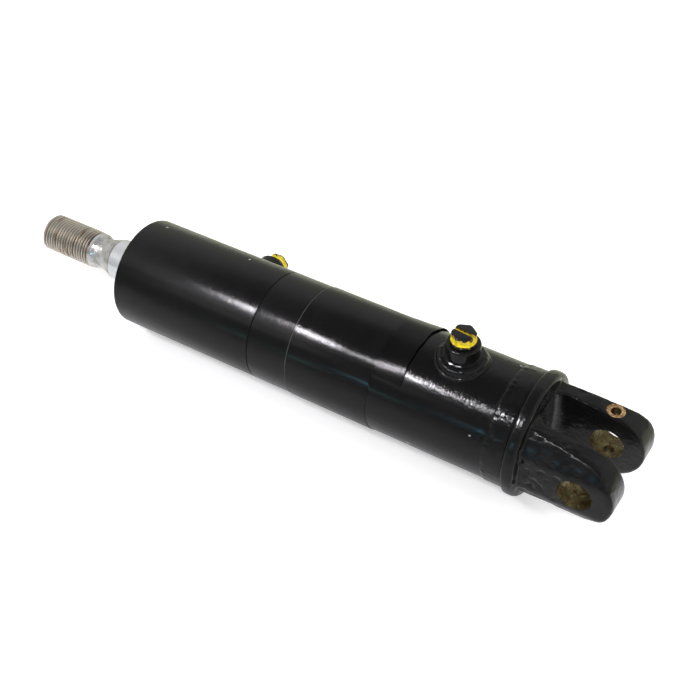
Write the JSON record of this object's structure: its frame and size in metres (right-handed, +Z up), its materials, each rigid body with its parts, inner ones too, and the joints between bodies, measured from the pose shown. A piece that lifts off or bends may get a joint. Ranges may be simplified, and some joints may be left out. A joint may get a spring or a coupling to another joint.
{
  "type": "hydraulic cylinder",
  "caption": "Double-acting hydraulic cylinder with a slotted clevis base, welded port bosses with screw plugs, and a chromed rod that ends in an external thread.",
  "frame": {"origin": "centre of the clevis pin bore, midway between the ears", "axes": "+X along the cylinder, out of the clevis, so that the rod leaves along -X; +Y along the pin bore; +Z up, the way the base port faces"},
  "size_m": [0.4585, 0.1011, 0.1008],
  "materials": {
    "black_paint": "gloss black enamel over steel, bare metal in the pin and bolt holes",
    "black_film": "blank black label film",
    "rod_chrome": "polished hard chrome, with a turned neck and a lightly rusted thread",
    "turned_steel": "fine turned",
    "spring_steel": "dark oiled phosphate",
    "piston_iron": "machined ductile iron",
    "yellow_plastic": "soft moulded, with black overspray on top",
    "blue_urethane": "moulded",
    "black_rubber": "moulded",
    "white_ptfe": "skived",
    "dark_ptfe": "skived, filled",
    "brown_wear_band": "fabric-reinforced resin"
  },
  "bodies": {
    "barrel": {"barrel_tube": "black_paint", "base_clevis": "black_paint", "clevis_weld": "black_paint", "base_port_boss": "black_paint", "base_port_weld": "black_paint", "head_port_boss": "black_paint", "head_port_weld": "black_paint", "label_wrap": "black_film", "label_tail": "black_film", "head_gland": "turned_steel", "gland_snap_ring": "spring_steel", "gland_o_ring": "black_rubber", "gland_backup_ring": "white_ptfe", "rod_wiper": "blue_urethane", "rod_seal": "blue_urethane", "gland_wear_ring": "brown_wear_band"},
    "piston_rings": {"piston_seal": "dark_ptfe", "piston_wear_rings": "brown_wear_band"},
    "rod": {"piston_rod": "rod_chrome", "stop_tube": "turned_steel", "piston": "piston_iron", "piston_o_ring": "black_rubber", "piston_nut": "spring_steel"},
    "base_plug": {"base_port_plug": "yellow_plastic"},
    "head_plug": {"head_port_plug": "yellow_plastic"}
  },
  "joints": [
    {"name": "rod_slide", "type": "slide", "parent": "barrel", "child": "piston_rings", "axis": [-1, 0, 0], "range_m": [0, 0.12]},
    {"name": "rod_turn", "type": "hinge", "parent": "piston_rings", "child": "rod", "pos_m": [-0.123, 0, 0], "axis": [1, 0, 0], "continuous": true},
    {"name": "base_plug_pull", "type": "slide", "parent": "barrel", "child": "base_plug", "axis": [0, 0, 1], "range_m": [0, 0.02]},
    {"name": "head_plug_pull", "type": "slide", "parent": "barrel", "child": "head_plug", "axis": [0, 0.9986, -0.0523], "range_m": [0, 0.02]}
  ]
}
